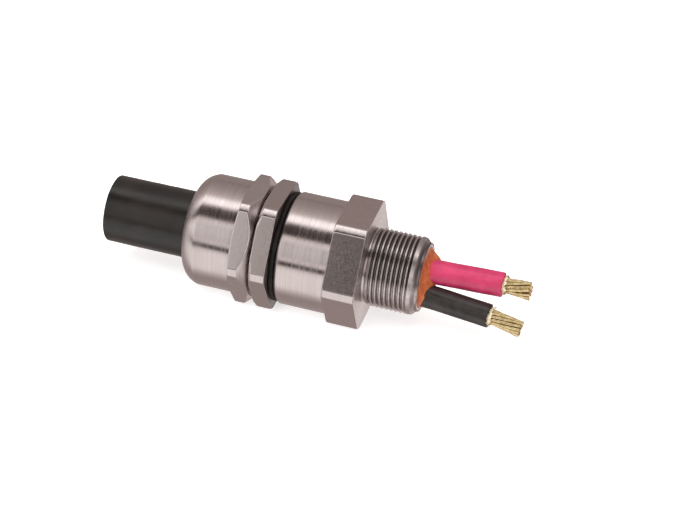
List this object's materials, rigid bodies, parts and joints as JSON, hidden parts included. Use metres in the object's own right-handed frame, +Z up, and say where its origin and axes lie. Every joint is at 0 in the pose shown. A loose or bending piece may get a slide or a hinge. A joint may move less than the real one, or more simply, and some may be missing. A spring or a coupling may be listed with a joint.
{
  "type": "cable gland",
  "caption": "Metal barrier-type cable gland for armoured cable, with threaded entry, hexagon nuts, rubber seals and a resin-filled bore, made off on a short two-core cable sample",
  "frame": {"origin": "On the resting surface below the gland's axis, halfway along the sample from the cable's cut end to the conductors' tips", "axes": "+X along the gland's axis toward the entry thread and the core tails, +Z up from the bottom flats of the hexagons, +Y to complete a right-handed frame"},
  "size_m": [0.1368, 0.0412, 0.037],
  "materials": {
    "turned_steel": "turned and brushed, satin",
    "plain_brass": "as machined",
    "galvanised_wire": "galvanised, dull",
    "black_rubber": "matt moulded",
    "black_sheath": "extruded, slightly glossy, scuffed",
    "grey_bedding": "extruded, matt",
    "resin_compound": "hand-pressed putty, matt",
    "red_core": "extruded, satin gloss",
    "black_core": "extruded, satin gloss",
    "separator_tape": "thin film, torn edge",
    "stranded_conductor": "bare drawn wire strands"
  },
  "bodies": {
    "root": {"entry_body": "turned_steel", "compound_tube": "plain_brass", "tube_oring": "black_rubber", "compound_barrier": "resin_compound", "armour_cone": "plain_brass", "outer_sheath": "black_sheath", "cable_bedding": "grey_bedding", "core_red_insulation": "red_core", "core_black_insulation": "black_core", "core_red_tape": "separator_tape", "core_black_tape": "separator_tape", "core_red_conductor": "stranded_conductor", "core_black_conductor": "stranded_conductor", "armour_wire_01": "galvanised_wire", "armour_wire_02": "galvanised_wire", "armour_wire_03": "galvanised_wire", "armour_wire_04": "galvanised_wire", "armour_wire_05": "galvanised_wire", "armour_wire_06": "galvanised_wire", "armour_wire_07": "galvanised_wire", "armour_wire_08": "galvanised_wire", "armour_wire_09": "galvanised_wire", "armour_wire_10": "galvanised_wire", "armour_wire_11": "galvanised_wire", "armour_wire_12": "galvanised_wire", "armour_wire_13": "galvanised_wire", "armour_wire_14": "galvanised_wire", "armour_wire_15": "galvanised_wire", "armour_wire_16": "galvanised_wire", "armour_wire_17": "galvanised_wire", "armour_wire_18": "galvanised_wire", "armour_wire_19": "galvanised_wire", "armour_wire_20": "galvanised_wire", "armour_wire_21": "galvanised_wire", "armour_wire_22": "galvanised_wire", "armour_wire_23": "galvanised_wire", "armour_wire_24": "galvanised_wire", "armour_wire_25": "galvanised_wire", "armour_wire_26": "galvanised_wire", "armour_wire_27": "galvanised_wire", "armour_wire_28": "galvanised_wire", "armour_wire_29": "galvanised_wire", "armour_wire_30": "galvanised_wire"},
    "clamp_ring_slide": {"armour_clamp_ring": "plain_brass", "deluge_seal": "black_rubber", "outer_seal": "black_rubber"},
    "middle_nut": {"middle_nut": "turned_steel"},
    "skid_washer_slide": {"skid_washer": "turned_steel"},
    "back_nut": {"back_nut": "turned_steel"}
  },
  "joints": [
    {"name": "middle_nut_travel", "type": "slide", "parent": "root", "child": "clamp_ring_slide", "axis": [-1, 0, 0], "range_m": [0, 0.0045]},
    {"name": "middle_nut_turn", "type": "hinge", "parent": "clamp_ring_slide", "child": "middle_nut", "pos_m": [-0.0138, 0, 0.0185], "axis": [-1, 0, 0], "range_deg": [0, 1080]},
    {"name": "back_nut_travel", "type": "slide", "parent": "middle_nut", "child": "skid_washer_slide", "axis": [-1, 0, 0], "range_m": [0, 0.0045]},
    {"name": "back_nut_turn", "type": "hinge", "parent": "skid_washer_slide", "child": "back_nut", "pos_m": [-0.021, 0, 0.0185], "axis": [-1, 0, 0], "range_deg": [0, 1080]}
  ],
  "couplings": [
    {"joint": "middle_nut_turn", "follows": "middle_nut_travel", "rad_per_m": 4188.8},
    {"joint": "back_nut_turn", "follows": "back_nut_travel", "rad_per_m": 4188.8}
  ]
}
